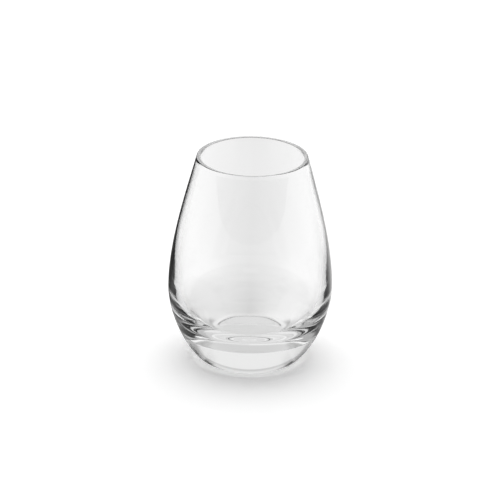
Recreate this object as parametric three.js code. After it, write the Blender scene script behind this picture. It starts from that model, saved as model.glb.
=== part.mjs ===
// A stemless cognac glass: an egg-shaped bowl that runs down into a heavy solid base.
// Lengths are in millimetres, angles in degrees. +Z is up, along the axis that the glass is turned
// about, and the origin is the middle of the face that it stands on.
import * as THREE from 'three';

// Outside form
const HEIGHT = 94.3;
const BELLY_DIAMETER = 72;
const BELLY_LEVEL = 33.4;
const RIM_DIAMETER = 48.7;
const RIM_LEAN = 14.3;
const NECK_REACH = 16;
const SHOULDER_REACH = 20.2;
const FLANK_REACH = 13.2;

// Foot: the small round of its edge, the flat ring that the glass stands on and the hollowed underside
const FOOT_DIAMETER = 40.2;
const FOOT_EDGE_RADIUS = 1.5;
const FOOT_EDGE_ANGLE = 24;
const FOOT_REACH = 6.6;
const RESTING_RING_WIDTH = 2.5;
const UNDERSIDE_RISE = 2.4;

// Cavity: the lip, the wall that thickens downwards and the dished floor
const LIP_THICKNESS = 1.75;
const LIP_RISE = 0.45;
const LIP_LEAN = 14;
const BELLY_WALL = 3.65;
const CAVITY_BELLY_LIFT = 5.65;
const CAVITY_NECK_REACH = 34;
const CAVITY_SHOULDER_REACH = 12.5;
const CAVITY_FLANK_REACH = 16.9;
const FLOOR_LEVEL = 11.4;
const FLOOR_DIAMETER = 38.2;
const FLOOR_SAG = 1.95;
const FLOOR_EDGE_ANGLE = 44;
const FLOOR_EDGE_REACH = 9.85;

// The level face where the bowl, with its floor, sits on the base
const BOWL_FLOOR_THICKNESS = 3;

// Facets round the axis, on each long curve and on each small round
const TURN_STEPS = 48;
const CURVE_STEPS = 9;
const ROUND_STEPS = 4;
const DISH_STEPS = 4;
// A curve point closer than this to a cut level is left out, because the cut adds its own
const CUT_MARGIN = 0.2;

// Sizes that follow from those above
const bellyRadius = BELLY_DIAMETER / 2;
const rimRadius = RIM_DIAMETER / 2;
const footRadius = FOOT_DIAMETER / 2;
const halfLip = LIP_THICKNESS / 2;
const lipLevel = HEIGHT - LIP_RISE;
const cavityRadius = bellyRadius - BELLY_WALL;
const cavityBellyLevel = BELLY_LEVEL + CAVITY_BELLY_LIFT;
const mouthRadius = rimRadius - LIP_THICKNESS;
const floorRadius = FLOOR_DIAMETER / 2;
const floorEdgeLevel = FLOOR_LEVEL + FLOOR_SAG;
const seamLevel = FLOOR_LEVEL - BOWL_FLOOR_THICKNESS;

const radians = THREE.MathUtils.degToRad;

// A point of an outline: its distance from the axis and its level
function point(radius, level) {
  return new THREE.Vector2(radius, level);
}

// The point that lies a given reach from another, in a direction given as an angle above level
function reachFrom(start, angle, reach) {
  const direction = point(Math.cos(radians(angle)), Math.sin(radians(angle)));
  return start.clone().addScaledVector(direction, reach);
}

// A smooth curve that leaves one point towards its handle and arrives at another from its handle
function curve(start, startHandle, endHandle, end) {
  return new THREE.CubicBezierCurve(start, startHandle, endHandle, end).getPoints(CURVE_STEPS);
}

// A round about a centre, from one angle to another: it reaches out by its width and up by its height
function round(centre, width, height, startAngle, endAngle) {
  const start = radians(startAngle);
  const arc = new THREE.EllipseCurve(centre.x, centre.y, width, height, start, radians(endAngle));
  return arc.getPoints(ROUND_STEPS);
}

// A shallow dish from the axis out to its edge: the level changes with the square of the radius
function dish(middleLevel, edgeRadius, edgeLevel) {
  const points = [];
  for (let step = 0; step <= DISH_STEPS; step += 1) {
    const share = step / DISH_STEPS;
    const level = middleLevel + (edgeLevel - middleLevel) * share * share;
    points.push(point(edgeRadius * share, level));
  }
  return points;
}

// The outside from the standing face to the rim: foot edge, flank up to the belly, shoulder up to the rim
function outsideOutline() {
  const edgeCentre = point(footRadius, FOOT_EDGE_RADIUS);
  const footEdge = round(edgeCentre, FOOT_EDGE_RADIUS, FOOT_EDGE_RADIUS, -90, FOOT_EDGE_ANGLE - 90);
  const edgeEnd = footEdge.at(-1);
  const footHandle = reachFrom(edgeEnd, FOOT_EDGE_ANGLE, FOOT_REACH);
  const belly = point(bellyRadius, BELLY_LEVEL);
  const rim = point(rimRadius, lipLevel);
  const flank = curve(edgeEnd, footHandle, point(bellyRadius, BELLY_LEVEL - FLANK_REACH), belly);
  const shoulderHandle = point(bellyRadius, BELLY_LEVEL + SHOULDER_REACH);
  const neckHandle = reachFrom(rim, RIM_LEAN - 90, NECK_REACH);
  const shoulder = curve(belly, shoulderHandle, neckHandle, rim);
  return [...footEdge, ...flank.slice(1), ...shoulder.slice(1)];
}

// The low rounded lip over the top, from the outside to the mouth
function lipOutline() {
  return round(point(rimRadius - halfLip, lipLevel), halfLip, LIP_RISE, 0, 180);
}

// The cavity from the middle of its floor up to the mouth
function cavityOutline() {
  const floor = dish(FLOOR_LEVEL, floorRadius, floorEdgeLevel);
  const floorEdge = floor.at(-1);
  const floorHandle = reachFrom(floorEdge, FLOOR_EDGE_ANGLE, FLOOR_EDGE_REACH);
  const belly = point(cavityRadius, cavityBellyLevel);
  const mouth = point(mouthRadius, lipLevel);
  const flankHandle = point(cavityRadius, cavityBellyLevel - CAVITY_FLANK_REACH);
  const flank = curve(floorEdge, floorHandle, flankHandle, belly);
  const shoulderHandle = point(cavityRadius, cavityBellyLevel + CAVITY_SHOULDER_REACH);
  const neckHandle = reachFrom(mouth, LIP_LEAN - 90, CAVITY_NECK_REACH);
  const shoulder = curve(belly, shoulderHandle, neckHandle, mouth);
  return [...floor, ...flank.slice(1), ...shoulder.slice(1)];
}

// Where a rising outline crosses a level
function crossing(outline, level) {
  const next = outline.findIndex((above) => above.y > level);
  const before = outline[next - 1];
  const after = outline[next];
  return before.clone().lerp(after, (level - before.y) / (after.y - before.y));
}

// A closed solid turned about the axis from an outline that starts and ends on it
function turned(name, outline) {
  const geometry = new THREE.LatheGeometry(outline, TURN_STEPS);
  geometry.rotateX(Math.PI / 2);
  const mesh = new THREE.Mesh(geometry, clearGlass());
  mesh.name = name;
  return mesh;
}

// Clear, colourless, polished glass
function clearGlass() {
  return new THREE.MeshStandardMaterial({
    color: 0xf2f4f3,
    roughness: 0.03,
    metalness: 0,
    transparent: true,
    opacity: 0.35,
  });
}

// The bowl stands on the seam: level floor, outside, lip, and the cavity back down to its floor
function bowl() {
  const outside = outsideOutline();
  const wall = outside.filter((place) => place.y > seamLevel + CUT_MARGIN);
  const lip = lipOutline().slice(1, -1);
  const cavity = cavityOutline().reverse();
  return turned('bowl', [point(0, seamLevel), crossing(outside, seamLevel), ...wall, ...lip, ...cavity]);
}

// The base fills the foot: hollowed underside, resting ring, foot edge and flank up to the seam
function base() {
  const outside = outsideOutline();
  const underside = dish(UNDERSIDE_RISE, footRadius - RESTING_RING_WIDTH, 0);
  const flank = outside.filter((place) => place.y < seamLevel - CUT_MARGIN);
  return turned('base', [...underside, ...flank, crossing(outside, seamLevel), point(0, seamLevel)]);
}

const glass = new THREE.Group();
glass.name = 'cognac_glass';
glass.add(bowl(), base());

export default glass;
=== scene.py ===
"""A stemless cognac glass of clear glass, standing on a white studio floor.

Lengths are metres, angles are degrees, +Z is up and the glass stands on the origin.
"""

import logging
import math
from dataclasses import dataclass
from enum import Enum
from functools import reduce
from typing import Any, Union

import bpy
import numpy as np
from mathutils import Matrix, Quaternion, Vector


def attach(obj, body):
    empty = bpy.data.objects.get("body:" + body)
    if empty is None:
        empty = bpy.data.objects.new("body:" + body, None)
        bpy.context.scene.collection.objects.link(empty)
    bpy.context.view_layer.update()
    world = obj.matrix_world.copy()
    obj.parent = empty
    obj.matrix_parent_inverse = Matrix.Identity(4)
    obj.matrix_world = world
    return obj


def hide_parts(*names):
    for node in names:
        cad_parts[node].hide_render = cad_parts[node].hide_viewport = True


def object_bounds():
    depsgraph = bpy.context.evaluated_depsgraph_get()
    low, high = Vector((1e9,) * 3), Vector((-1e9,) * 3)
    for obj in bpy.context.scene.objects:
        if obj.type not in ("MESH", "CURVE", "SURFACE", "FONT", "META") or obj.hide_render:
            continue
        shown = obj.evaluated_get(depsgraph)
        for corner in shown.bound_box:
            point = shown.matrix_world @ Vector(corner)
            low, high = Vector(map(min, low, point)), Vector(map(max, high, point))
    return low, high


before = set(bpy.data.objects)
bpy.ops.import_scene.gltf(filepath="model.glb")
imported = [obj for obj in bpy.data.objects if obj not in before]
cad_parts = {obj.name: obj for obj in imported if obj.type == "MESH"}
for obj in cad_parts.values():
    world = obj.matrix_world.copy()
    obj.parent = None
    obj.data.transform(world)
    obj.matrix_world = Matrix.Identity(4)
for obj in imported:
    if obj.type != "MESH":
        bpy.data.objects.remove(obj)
CAD_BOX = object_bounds()

LOG = logging.getLogger("cognac_glass")
MM = 0.001
DEGREES = 180.0 / math.pi
WHITE = (1.0, 1.0, 1.0, 1.0)
Number = Union[float, "Value"]


class Ray(Enum):
    """A kind of light path that a surface of the studio can be shown to."""

    CAMERA = "Is Camera Ray"
    GLOSSY = "Is Glossy Ray"
    TRANSMISSION = "Is Transmission Ray"


class Graph:
    """The nodes of one material or of the world."""

    def __init__(self, owner: Union[bpy.types.Material, bpy.types.World]) -> None:
        """Empties the owner's node tree.

        Args:
            owner: The material or world whose nodes are made.
        """
        owner.use_nodes = True
        self.tree = owner.node_tree
        self.tree.nodes.clear()

    def add(self, kind: str, settings: dict[str, Any], inputs: dict[Any, Any]) -> bpy.types.Node:
        """Adds a node of any kind.

        Args:
            kind: The node's type name.
            settings: Its settings, which are set first.
            inputs: A number, colour, Value or output socket for each named or numbered input.

        Returns:
            The new node.
        """
        node = self.tree.nodes.new(kind)
        for name, setting in settings.items():
            setattr(node, name, setting)
        for name, given in inputs.items():
            source = given.socket if isinstance(given, Value) else given
            if isinstance(source, bpy.types.NodeSocket):
                self.tree.links.new(source, node.inputs[name])
            else:
                node.inputs[name].default_value = source
        return node

    def value(self, kind: str, settings: dict[str, Any], inputs: dict[Any, Any], output: Any) -> "Value":
        """Adds a node and wraps one of its outputs.

        Args:
            kind: The node's type name.
            settings: Its settings.
            inputs: What its inputs take.
            output: The name or number of the output to wrap.

        Returns:
            The output as a value to calculate with.
        """
        return Value(self, self.add(kind, settings, inputs).outputs[output])

    def seen_by(self, *rays: Ray) -> "Value":
        """Gives 1 for the named kinds of ray and 0 for the others."""
        path = self.add("ShaderNodeLightPath", {}, {})
        kinds = [Value(self, path.outputs[ray.value]) for ray in rays]
        return reduce(Value.greater, kinds)

    def after_floor(self) -> "Value":
        """Gives 1 for light that the floor has already scattered and 0 for the rest."""
        path = self.add("ShaderNodeLightPath", {}, {})
        return Value(self, path.outputs["Diffuse Depth"]).rise(0.0, 1.0)


class Value:
    """A number that flows between nodes: arithmetic on it adds Math nodes."""

    def __init__(self, graph: Graph, socket: bpy.types.NodeSocket) -> None:
        """Wraps an output socket.

        Args:
            graph: The graph that the socket belongs to.
            socket: The output that holds the number.
        """
        self.graph = graph
        self.socket = socket

    def _math(self, operation: str, left: Number, right: Number) -> "Value":
        """Adds one Math node on two numbers."""
        return self.graph.value("ShaderNodeMath", {"operation": operation}, {0: left, 1: right}, 0)

    def __add__(self, other: Number) -> "Value":
        """Gives this plus another number."""
        return self._math("ADD", self, other)

    __radd__ = __add__

    def __sub__(self, other: Number) -> "Value":
        """Gives this less another number."""
        return self._math("SUBTRACT", self, other)

    def __rsub__(self, other: Number) -> "Value":
        """Gives another number less this."""
        return self._math("SUBTRACT", other, self)

    def __mul__(self, other: Number) -> "Value":
        """Gives this times another number."""
        return self._math("MULTIPLY", self, other)

    __rmul__ = __mul__

    def __truediv__(self, other: Number) -> "Value":
        """Gives this divided by another number."""
        return self._math("DIVIDE", self, other)

    def __pow__(self, exponent: Number) -> "Value":
        """Gives this raised to a power."""
        return self._math("POWER", self, exponent)

    def greater(self, other: Number) -> "Value":
        """Gives the greater of this and another number."""
        return self._math("MAXIMUM", self, other)

    def rise(self, low: float, high: float) -> "Value":
        """Gives a smooth step that is 0 at low and 1 at high.

        Args:
            low: Where the step starts.
            high: Where the step ends.

        Returns:
            The step, held at 0 and 1 outside those two.
        """
        settings = {"interpolation_type": "SMOOTHSTEP"}
        return self.graph.value("ShaderNodeMapRange", settings, {0: self, 1: low, 2: high}, 0)

    def around(self, middle: float, blur: float) -> "Value":
        """Gives a smooth step from 0 to 1 that reaches a blur to each side of its middle."""
        return self.rise(middle - blur, middle + blur)

    def bearing(self, ahead: "Value") -> "Value":
        """Gives the angle, right of ahead, of a direction whose part to the right is this."""
        return self._math("ARCTAN2", self, ahead) * DEGREES

    def slope(self) -> "Value":
        """Gives the angle above level of a direction whose part upwards is this."""
        return self._math("ARCSINE", self, 0.0) * DEGREES

    def sine(self) -> "Value":
        """Gives the sine of this angle in radians."""
        return self._math("SINE", self, 0.0)

    def size(self) -> "Value":
        """Gives this without its sign."""
        return self._math("ABSOLUTE", self, 0.0)

    def between(self, low: Number, high: Number) -> "Value":
        """Gives low where this is 0, high where it is 1, and a blend between."""
        return low * (1.0 - self) + high * self


def sine(angle: float) -> float:
    """Gives the sine of an angle in degrees."""
    return math.sin(math.radians(angle))


def cosine(angle: float) -> float:
    """Gives the cosine of an angle in degrees."""
    return math.cos(math.radians(angle))


def curve(start: np.ndarray, start_handle: np.ndarray, end_handle: np.ndarray, end: np.ndarray,
          steps: int) -> np.ndarray:
    """Makes a smooth curve between two points of an outline.

    It is the cubic Bezier sum of the four points, each weighted by its Bernstein polynomial in t.

    Args:
        start: First point, as its distance from the axis and its level.
        start_handle: The point that the curve leaves towards.
        end_handle: The point that the curve arrives from.
        end: Last point.
        steps: Stretches that the curve is divided into.

    Returns:
        The points from start to end, one a row.
    """
    t = np.linspace(0.0, 1.0, steps + 1)[:, None]
    near = (1 - t) ** 3 * start + 3 * (1 - t) ** 2 * t * start_handle
    return near + 3 * (1 - t) * t ** 2 * end_handle + t ** 3 * end


def arc(centre: np.ndarray, radius: float, start: float, end: float, steps: int) -> np.ndarray:
    """Makes a round about a centre: the centre plus the radius times cosine and sine of the angle.

    Args:
        centre: Middle of the round.
        radius: Its radius.
        start: First angle.
        end: Last angle.
        steps: Stretches that the round is divided into.

    Returns:
        The points from the first angle to the last, one a row.
    """
    angle = np.radians(np.linspace(start, end, steps + 1))
    return centre + radius * np.stack([np.cos(angle), np.sin(angle)], axis=1)


def dish(middle: float, edge_radius: float, edge: float, steps: int) -> np.ndarray:
    """Makes a shallow dish whose level changes with the square of the distance from the axis.

    Args:
        middle: Level on the axis.
        edge_radius: Distance of the edge from the axis.
        edge: Level at the edge.
        steps: Stretches that the dish is divided into.

    Returns:
        The points from the axis to the edge, one a row.
    """
    share = np.linspace(0.0, 1.0, steps + 1)
    return np.stack([edge_radius * share, middle + (edge - middle) * share ** 2], axis=1)


def towards(start: np.ndarray, angle: float, reach: float) -> np.ndarray:
    """Gives the point that lies a reach from another, at an angle above level."""
    return start + reach * np.array([cosine(angle), sine(angle)])


def turned(name: str, outline: np.ndarray, turn_steps: int) -> bpy.types.Object:
    """Turns an outline about the axis into one closed mesh.

    A point at angle a round the axis is (r cos a, r sin a, z) for the outline's radius r and level z.
    The outline starts and ends on the axis, so each end is a single point with triangles round it.

    Args:
        name: The object's name.
        outline: Points from one end on the axis to the other, anticlockwise as radius and level.
        turn_steps: Steps in a full turn.

    Returns:
        The object, at the origin.
    """
    angle = np.linspace(0.0, 2 * math.pi, turn_steps, endpoint=False)
    radius, level = outline[1:-1, 0, None], outline[1:-1, 1, None]
    rows = len(outline) - 2
    rings = np.stack([radius * np.cos(angle), radius * np.sin(angle), level + 0 * angle], axis=2)
    ends = np.array([[0.0, 0.0, outline[0, 1]], [0.0, 0.0, outline[-1, 1]]])
    points = np.concatenate([rings.reshape(-1, 3), ends])

    number = np.arange(rows * turn_steps).reshape(rows, turn_steps)
    beside = np.roll(number, -1, axis=1)
    sides = np.stack([number[:-1], beside[:-1], beside[1:], number[1:]], axis=2).reshape(-1, 4)
    first, last = rows * turn_steps, rows * turn_steps + 1
    lower = np.stack([np.full(turn_steps, first), beside[0], number[0]], axis=1)
    upper = np.stack([np.full(turn_steps, last), number[-1], beside[-1]], axis=1)

    corners = np.concatenate([sides.ravel(), lower.ravel(), upper.ravel()])
    counts = np.concatenate([np.full(len(sides), 4), np.full(2 * turn_steps, 3)])
    mesh = bpy.data.meshes.new(name)
    mesh.vertices.add(len(points))
    mesh.vertices.foreach_set("co", points.ravel())
    mesh.loops.add(len(corners))
    mesh.loops.foreach_set("vertex_index", corners)
    mesh.polygons.add(len(counts))
    mesh.polygons.foreach_set("loop_start", np.cumsum(counts) - counts)
    mesh.polygons.foreach_set("use_smooth", np.ones(len(counts), dtype=bool))
    mesh.update(calc_edges=True)
    mesh.validate()
    return shown(name, mesh)


def shown(name: str, mesh: bpy.types.Mesh) -> bpy.types.Object:
    """Puts a mesh into the scene as an object."""
    thing = bpy.data.objects.new(name, mesh)
    bpy.context.scene.collection.objects.link(thing)
    return thing


@dataclass(frozen=True)
class ClearGlass:
    """Clear polished glass: a faint cast in the thick foot, a slight wave, and wear where it stands."""

    ior: float = 1.51
    cast: tuple[float, float, float] = (0.996, 0.999, 0.994)
    cast_top: float = 16.0 * MM
    wear: float = 0.10
    wear_top: float = 0.25 * MM
    wear_scale: float = 900.0
    wave_height: float = 0.02 * MM
    wave_scale: float = 60.0

    def material(self) -> bpy.types.Material:
        """Makes the material.

        Returns:
            The finished material.
        """
        made = bpy.data.materials.new("clear_glass")
        graph = Graph(made)
        place = graph.add("ShaderNodeTexCoord", {}, {})
        spot = place.outputs["Object"]
        split = graph.add("ShaderNodeSeparateXYZ", {}, {0: spot})
        z = Value(graph, split.outputs["Z"])
        foot = 1.0 - z.rise(0.0, self.cast_top)
        tint = {number: foot.between(1.0, level) for number, level in enumerate(self.cast)}
        colour = graph.value("ShaderNodeCombineColor", {}, tint, 0)
        grain = graph.value("ShaderNodeTexNoise", {}, {"Vector": spot, "Scale": self.wear_scale}, 0)
        worn = (1.0 - z.rise(0.0, self.wear_top)) * grain * self.wear
        wave = graph.value("ShaderNodeTexNoise", {}, {"Vector": spot, "Scale": self.wave_scale}, 0)
        bump = graph.add("ShaderNodeBump", {}, {"Distance": self.wave_height, "Height": wave})
        surface = graph.add("ShaderNodeBsdfPrincipled", {}, {
            "Base Color": colour,
            "Roughness": worn,
            "IOR": self.ior,
            "Transmission Weight": 1.0,
            "Normal": bump.outputs["Normal"],
        })
        graph.add("ShaderNodeOutputMaterial", {}, {"Surface": surface.outputs["BSDF"]})
        return made


@dataclass
class GlassBody:
    """The whole glass as one closed surface: base, foot edge, wall, lip and cavity."""

    height: float
    belly_radius: float
    belly_level: float = 33.4 * MM
    rim_radius: float = 24.35 * MM
    rim_lean: float = 14.3
    neck_reach: float = 16.0 * MM
    shoulder_reach: float = 20.2 * MM
    flank_reach: float = 13.2 * MM
    foot_radius: float = 20.1 * MM
    foot_edge_radius: float = 1.5 * MM
    foot_edge_angle: float = 24.0
    foot_reach: float = 6.6 * MM
    ring_width: float = 2.5 * MM
    underside_rise: float = 2.4 * MM
    lip_thickness: float = 1.75 * MM
    lip_rise: float = 0.45 * MM
    lip_lean: float = 14.0
    belly_wall: float = 3.65 * MM
    cavity_belly_lift: float = 5.65 * MM
    cavity_neck_reach: float = 34.0 * MM
    cavity_shoulder_reach: float = 12.5 * MM
    cavity_flank_reach: float = 16.9 * MM
    floor_level: float = 11.4 * MM
    floor_radius: float = 19.1 * MM
    floor_sag: float = 1.95 * MM
    floor_edge_angle: float = 44.0
    floor_edge_reach: float = 9.85 * MM
    long_steps: int = 46
    round_steps: int = 24
    turn_steps: int = 320

    @property
    def lip_level(self) -> float:
        """Gives the level at which the lip's round begins."""
        return self.height - self.lip_rise

    def underside(self) -> np.ndarray:
        """Gives the hollowed underside, from the axis to the resting ring."""
        return dish(self.underside_rise, self.foot_radius - self.ring_width, 0.0, self.round_steps)

    def outside(self) -> np.ndarray:
        """Gives the outside from the resting ring to the rim: foot edge, flank and shoulder."""
        edge_centre = np.array([self.foot_radius, self.foot_edge_radius])
        edge = arc(edge_centre, self.foot_edge_radius, -90.0, self.foot_edge_angle - 90.0, self.round_steps)
        belly = np.array([self.belly_radius, self.belly_level])
        rim = np.array([self.rim_radius, self.lip_level])
        flank = curve(edge[-1], towards(edge[-1], self.foot_edge_angle, self.foot_reach),
                      towards(belly, -90.0, self.flank_reach), belly, self.long_steps)
        shoulder = curve(belly, towards(belly, 90.0, self.shoulder_reach),
                         towards(rim, self.rim_lean - 90.0, self.neck_reach), rim, self.long_steps)
        return np.concatenate([edge, flank[1:], shoulder[1:]])

    def lip(self) -> np.ndarray:
        """Gives the half round over the top of the wall, from the outside to the mouth."""
        middle = np.array([self.rim_radius - self.lip_thickness / 2, self.lip_level])
        across = np.array([1.0, self.lip_rise / (self.lip_thickness / 2)])
        return middle + across * arc(np.zeros(2), self.lip_thickness / 2, 0.0, 180.0, self.round_steps)

    def cavity(self) -> np.ndarray:
        """Gives the inside from the mouth down to the middle of the floor."""
        mouth = np.array([self.rim_radius - self.lip_thickness, self.lip_level])
        belly = np.array([self.belly_radius - self.belly_wall, self.belly_level + self.cavity_belly_lift])
        floor = dish(self.floor_level, self.floor_radius, self.floor_level + self.floor_sag, self.round_steps)
        shoulder = curve(mouth, towards(mouth, self.lip_lean - 90.0, self.cavity_neck_reach),
                         towards(belly, 90.0, self.cavity_shoulder_reach), belly, self.long_steps)
        flank = curve(belly, towards(belly, -90.0, self.cavity_flank_reach),
                      towards(floor[-1], self.floor_edge_angle, self.floor_edge_reach), floor[-1],
                      self.long_steps)
        return np.concatenate([shoulder[1:], flank[1:], floor[-2::-1]])

    def build(self) -> bpy.types.Object:
        """Turns the whole outline, from under the base round to the cavity's floor.

        Returns:
            The glass as one closed mesh.
        """
        outline = np.concatenate([self.underside(), self.outside(), self.lip()[1:], self.cavity()])
        return turned("glass_body", outline, self.turn_steps)

    def dress(self, piece: bpy.types.Object, finish: ClearGlass) -> None:
        """Gives the piece its finish and sets it in the frame.

        Args:
            piece: The glass.
            finish: The glass's material.
        """
        piece.data.materials.append(finish.material())
        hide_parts("bowl", "base")
        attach(piece, "root")


@dataclass(frozen=True)
class Sky:
    """The studio round the glass, by azimuth from the backdrop and by elevation.

    A white backdrop stands behind the glass and a light hangs overhead, with a dim gap between them. Grey
    sides run on from the backdrop to dark flags, a dark slot lies over each side, and the room in front is
    dark but for a small light. Levels are brightness, where 1 is white. Edges and blurs are angles, counted
    from the middle of the backdrop to either side, or up from the horizon.
    """

    middle_blur: float = 30.0
    behind: float = 0.83
    behind_left: float = 48.7
    behind_right: float = 39.9
    behind_blur: float = 5.0
    behind_top: float = 30.6
    behind_top_blur: float = 1.5
    gap: float = 0.54
    overhead: float = 0.64
    overhead_behind: float = 0.72
    overhead_edge: float = 36.3
    overhead_blur: float = 2.5
    side_left: float = 0.46
    side_right: float = 0.50
    flag: float = 0.0
    flag_left: float = 109.0
    flag_right: float = 78.0
    flag_blur: float = 8.0
    flag_top: float = 29.5
    flag_top_blur: float = 2.0
    above_flag: float = 0.42
    slot_level: float = 0.05
    slot_start: float = 81.0
    slot_end: float = 112.0
    slot_blur: float = 5.0
    slot_bottom: float = 40.5
    slot_bottom_blur: float = 1.5
    slot_top: float = 52.0
    slot_top_blur: float = 3.0
    front: float = 0.02
    front_left: float = 163.0
    front_right: float = 146.0
    front_light: float = 0.63
    front_light_edge: float = 167.0
    front_light_bottom: float = 11.5
    front_light_top: float = 26.0
    front_light_blur: float = 4.0
    mirrored_front: float = 0.3
    mirrored_side: float = 0.8
    mirrored_top: float = 11.0
    mirrored_blur: float = 11.0
    soft_level: float = 0.24
    soft_peak: float = 2.08
    soft_lean: float = 18.0
    soft_tightness: float = 5.0

    def build(self) -> None:
        """Makes the world: white to the camera, a studio to the glass and soft light to the floor."""
        world = bpy.data.worlds.new("studio")
        bpy.context.scene.world = world
        graph = Graph(world)
        place = graph.add("ShaderNodeTexCoord", {}, {})
        split = graph.add("ShaderNodeSeparateXYZ", {}, {0: place.outputs["Generated"]})
        x, y, z = (Value(graph, split.outputs[axis]) for axis in "XYZ")
        camera = graph.seen_by(Ray.CAMERA)
        glass = graph.seen_by(Ray.GLOSSY, Ray.TRANSMISSION) * (1.0 - graph.after_floor())
        mirrored = 1.0 - graph.seen_by(Ray.TRANSMISSION)
        seen = self.studio(x.bearing(y), z.slope(), mirrored)
        strength = camera + glass * seen + (1.0 - camera - glass) * self.soft(y, z)
        shade = graph.add("ShaderNodeBackground", {}, {"Color": WHITE, "Strength": strength})
        graph.add("ShaderNodeOutputWorld", {}, {"Surface": shade.outputs["Background"]})

    def studio(self, azimuth: Value, elevation: Value, mirrored: Value) -> Value:
        """Gives what the glass sees in each direction.

        Args:
            azimuth: The direction's angle to the right of the backdrop.
            elevation: Its angle above level.
            mirrored: 1 for light that the surface mirrors and 0 for light that came through the glass.

        Returns:
            The brightness in that direction.
        """
        right = azimuth.around(0.0, self.middle_blur)
        turn = azimuth.size()
        backdrop = azimuth.around(-self.behind_left, self.behind_blur)
        backdrop = backdrop * (1.0 - azimuth.around(self.behind_right, self.behind_blur))
        flagged = right.between(turn.around(self.flag_left, self.flag_blur),
                                turn.around(self.flag_right, self.flag_blur))
        ahead = right.between(turn.around(self.front_left, self.flag_blur),
                              turn.around(self.front_right, self.flag_blur))
        lamp = turn.around(self.front_light_edge, self.front_light_blur)
        lamp = lamp * elevation.around(self.front_light_bottom, self.front_light_blur)
        lamp = lamp * (1.0 - elevation.around(self.front_light_top, self.front_light_blur))
        over_flag = elevation.around(self.flag_top, self.flag_top_blur).between(self.flag, self.above_flag)
        dark = ahead.between(over_flag, lamp.between(self.front, self.front_light))
        wall = flagged.between(right.between(self.side_left, self.side_right), dark)
        low = mirrored * (1.0 - elevation.around(self.mirrored_top, self.mirrored_blur))
        wall = low.between(wall, self.glow(azimuth))
        behind = elevation.around(self.behind_top, self.behind_top_blur).between(self.behind, self.gap)
        above = elevation.around(self.overhead_edge, self.overhead_blur)
        seen = above.between(backdrop.between(wall, behind),
                             backdrop.between(self.overhead, self.overhead_behind))
        return self.slot(turn, elevation).between(seen, self.slot_level)

    def slot(self, turn: Value, elevation: Value) -> Value:
        """Gives 1 in the dark slots between the sides and the light overhead.

        Args:
            turn: The direction's angle from the backdrop, to either side.
            elevation: Its angle above level.

        Returns:
            The share of the slot in that direction.
        """
        across = turn.around(self.slot_start, self.slot_blur)
        across = across * (1.0 - turn.around(self.slot_end, self.slot_blur))
        up = elevation.around(self.slot_bottom, self.slot_bottom_blur)
        return across * up * (1.0 - elevation.around(self.slot_top, self.slot_top_blur))

    def glow(self, azimuth: Value) -> Value:
        """Gives the level that the surface mirrors along the horizon: brightest at both sides."""
        return self.mirrored_front + self.mirrored_side * (azimuth / DEGREES).sine() ** 2.0

    def soft(self, y: Value, z: Value) -> Value:
        """Gives the light on the floor, strongest from above and a little behind."""
        towards_peak = y * sine(self.soft_lean) + z * cosine(self.soft_lean)
        return self.soft_level + self.soft_peak * towards_peak.rise(0.0, 1.0) ** self.soft_tightness


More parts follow.
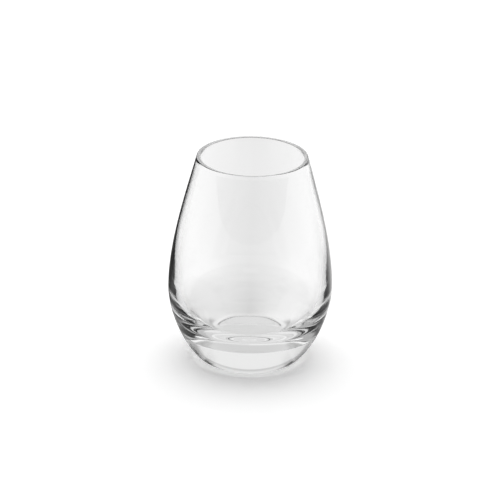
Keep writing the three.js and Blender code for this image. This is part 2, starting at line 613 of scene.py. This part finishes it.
@dataclass(frozen=True)
class Floor:
    """The white floor: it takes the shadow, and a glow round the foot is painted on it, standing in for light
    that the base focuses.

    Levels are brightness, where 1 is white. Lengths are distances from the axis, and the blurs beside them.
    Plain shares, such as ring_turn and far_front_start, say where a level begins or ends round the glass:
    they compare how far back, forward or right a place lies with its distance from the axis.
    """

    half_width: float = 4.0
    axis_gap: float = 0.1 * MM
    colour: float = 0.9
    lift_camera: float = 0.20
    # Painted glow: a bright ring of emission on the floor round the foot, shown to the camera, standing in
    # for light that the base focuses.
    painted_glow_radius: float = 24.9 * MM
    painted_glow_blur: float = 1.5 * MM
    painted_glow_level: float = 0.16
    # Levels seen through the glass: under, near and near_side are painted shadow under, round and beside the
    # foot, and the ring levels are a painted bright ring of light that the base focuses.
    under: float = 0.65
    ring_inner: float = 15.0 * MM
    ring_outer: float = 20.2 * MM
    ring_blur: float = 1.1 * MM
    painted_ring_front: float = 0.62
    painted_ring_behind: float = 0.92
    ring_turn: float = 0.9
    ring_touched: float = 0.66
    near: float = 0.66
    near_left: float = 0.80
    near_right: float = 0.92
    near_middle_blur: float = 30.0
    near_side: float = 0.40
    near_side_full: float = 0.3
    near_side_none: float = 0.6
    near_side_end: float = 27.0 * MM
    near_side_blur: float = 4.0 * MM
    near_end: float = 56.0 * MM
    near_blur: float = 30.0 * MM
    # Far levels seen through the glass: painted light makes the floor brighter at the sides, and it is darker
    # in front.
    far_behind: float = 0.84
    far_side: float = 1.05
    far_spread: float = 45.0
    far_front: float = 0.55
    far_front_start: float = 0.4
    far_front_full: float = 0.9
    # shade_radius to shade, and mirrored_beside: painted shadow beside the foot on the floor that the glass
    # mirrors.
    shade_radius: float = 34.0 * MM
    shade_lean: float = 15.4 * MM
    shade_blur: float = 3.0 * MM
    shade: float = 0.0
    mirrored_near: float = 0.95
    mirrored_near_start: float = 0.3
    mirrored_near_full: float = 0.9
    mirrored_near_end: float = 100.0 * MM
    mirrored_far_start: float = 600.0 * MM
    mirrored_beside: float = 0.35
    mirrored_left: float = 0.08
    mirrored_left_end: float = -0.3
    mirrored_right: float = 1.0
    mirrored_right_start: float = 0.5
    mirrored_back_start: float = 0.5
    mirrored_back_full: float = 0.75

    def build(self, sky: Sky) -> None:
        """Makes the floor sheet.

        Args:
            sky: The studio that the floor runs on into.
        """
        reach = self.half_width
        corners = [(-reach, -reach), (reach, -reach), (reach, reach), (-reach, reach)]
        points = [(x, y, 0.0) for x, y in corners]
        mesh = bpy.data.meshes.new("floor")
        mesh.from_pydata(points, [], [(0, 1, 2, 3)])
        mesh.materials.append(self.material(sky))
        shown("floor", mesh)

    def material(self, sky: Sky) -> bpy.types.Material:
        """Makes the floor's paint: lifted to white for the camera with a painted glow round the foot, and its
        own level for the glass, with painted shadow and painted light.

        Args:
            sky: The studio that the floor runs on into.

        Returns:
            The finished material.
        """
        made = bpy.data.materials.new("floor_white")
        graph = Graph(made)
        place = graph.add("ShaderNodeTexCoord", {}, {})
        split = graph.add("ShaderNodeSeparateXYZ", {}, {0: place.outputs["Object"]})
        x, y = (Value(graph, split.outputs[axis]) for axis in "XY")
        away = (x * x + y * y) ** 0.5 + self.axis_gap
        facing = y / away
        fresh = 1.0 - graph.after_floor()
        through = graph.seen_by(Ray.TRANSMISSION) * fresh
        mirrored = graph.seen_by(Ray.GLOSSY) * (1.0 - graph.seen_by(Ray.TRANSMISSION)) * fresh
        paint = graph.add("ShaderNodeBsdfDiffuse", {}, {"Color": (self.colour,) * 3 + (1.0,)})
        # Painted glow: the foot mask adds a bright ring of emission on the floor round the foot, for the
        # camera only.
        foot = 1.0 - away.around(self.painted_glow_radius, self.painted_glow_blur)
        lift_and_painted_glow = graph.seen_by(Ray.CAMERA) * (self.lift_camera + self.painted_glow_level * foot)
        glow = graph.add("ShaderNodeEmission", {}, {"Strength": lift_and_painted_glow})
        white = graph.add("ShaderNodeAddShader", {}, {0: paint.outputs[0], 1: glow.outputs[0]})
        level = through * self.seen_through(away, facing, x.bearing(y))
        level = level + mirrored * self.mirror(x, y, away, facing, sky)
        plain = graph.add("ShaderNodeEmission", {}, {"Strength": level})
        both = graph.add("ShaderNodeMixShader", {}, {0: through + mirrored, 1: white.outputs[0],
                                                     2: plain.outputs[0]})
        graph.add("ShaderNodeOutputMaterial", {}, {"Surface": both.outputs[0]})
        return made

    def seen_through(self, away: Value, facing: Value, azimuth: Value) -> Value:
        """Gives the floor seen through the glass, with painted light and shade: painted shadow under, round
        and beside the foot, a painted bright ring of focused light under the foot, painted light brighter at
        the sides, and darker in front.

        Args:
            away: Distance from the axis.
            facing: 1 behind the glass, 0 at its sides and -1 in front of it.
            azimuth: Angle to the right of straight behind the glass.

        Returns:
            The brightness at that place.
        """
        spread = azimuth.size().rise(-self.far_spread, self.far_spread) * 2.0 - 1.0
        side = spread.between(self.far_behind, self.far_side)
        before = (facing * -1.0).rise(self.far_front_start, self.far_front_full)
        far = before.between(side, self.far_front)
        # Painted shadow beside, round and under the foot, and painted light in the ring between ring_inner
        # and ring_outer.
        beside = 1.0 - facing.size().rise(self.near_side_full, self.near_side_none)
        beside = beside * (1.0 - away.around(self.near_side_end, self.near_side_blur))
        ends = azimuth.around(0.0, self.near_middle_blur).between(self.near_left, self.near_right)
        near = beside.between(spread.between(self.near, ends), self.near_side)
        ring = facing.rise(-self.ring_turn, self.ring_turn).between(self.painted_ring_front, self.painted_ring_behind)
        outside = away.around(self.near_end, self.near_blur).between(near, far)
        beyond = away.around(self.ring_outer, self.ring_blur).between(ring, outside)
        return away.around(self.ring_inner, self.ring_blur).between(self.under, beyond)

    def mirror(self, x: Value, y: Value, away: Value, facing: Value, sky: Sky) -> Value:
        """Gives the floor that the glass mirrors: darker behind on the left, and painted shadow beside the
        foot.

        Under the foot it is the floor that the resting ring touches.

        Args:
            x: Place to the right.
            y: Place towards the backdrop.
            away: Distance from the axis.
            facing: 1 behind the glass, 0 at its sides and -1 in front of it.
            sky: The studio that the floor runs on into.

        Returns:
            The brightness at that place.
        """
        right = (x / away).rise(self.mirrored_left_end, self.mirrored_right_start)
        behind = right.between(self.mirrored_left, self.mirrored_right)
        before = (facing * -1.0).rise(self.mirrored_near_start, self.mirrored_near_full)
        close = before.between(self.mirrored_beside, self.mirrored_near)
        distant = away.rise(self.mirrored_near_end, self.mirrored_far_start)
        ahead = distant.between(close, sky.glow(x.bearing(y)))
        back = facing.rise(self.mirrored_back_start, self.mirrored_back_full)
        beyond = back.between(ahead, behind)
        # Painted shadow: the mirrored floor drops to the shade level beside the foot.
        clear = (away - facing * self.shade_lean).around(self.shade_radius, self.shade_blur)
        outside = clear.between(self.shade, beyond)
        return away.around(self.ring_outer, self.ring_blur).between(self.ring_touched, outside)


@dataclass(frozen=True)
class Viewpoint:
    """The camera at the photograph's viewing angle."""

    elevation: float = 22.788
    distance: float = 2.0
    roll: float = 1.0313
    lens: float = 328.84
    sensor: float = 36.0
    aim: tuple[float, float, float] = (-0.00037, 0.0, 0.05004)

    def build(self) -> None:
        """Makes the camera and looks through it."""
        data = bpy.data.cameras.new("camera")
        data.lens = self.lens
        data.sensor_width = self.sensor
        camera = bpy.data.objects.new("camera", data)
        bpy.context.scene.collection.objects.link(camera)
        back = Vector((0.0, -cosine(self.elevation), sine(self.elevation)))
        camera.location = Vector(self.aim) + back * self.distance
        upright = back.to_track_quat("Z", "Y")
        camera.rotation_mode = "QUATERNION"
        camera.rotation_quaternion = upright @ Quaternion((0.0, 0.0, 1.0), math.radians(self.roll))
        bpy.context.scene.camera = camera


@dataclass(frozen=True)
class LightPaths:
    """How often light may turn inside the thick wall before it is dropped."""

    turns: int = 18

    def apply(self) -> None:
        """Sets the limits that light inside glass meets."""
        cycles = bpy.context.scene.cycles
        cycles.max_bounces = self.turns
        cycles.transmission_bounces = self.turns
        cycles.glossy_bounces = self.turns


def main() -> None:
    """Builds the glass, then the studio and the camera."""
    logging.basicConfig(level=logging.INFO, format="%(message)s")
    bpy.context.scene.view_settings.view_transform = "Standard"
    top = CAD_BOX[1]
    body = GlassBody(height=top[2], belly_radius=top[0])
    glass = body.build()
    body.dress(glass, ClearGlass())
    LOG.info("%s: %d faces", glass.name, len(glass.data.polygons))
    sky = Sky()
    Floor().build(sky)
    sky.build()
    Viewpoint().build()
    LightPaths().apply()


if __name__ == "__main__":
    main()
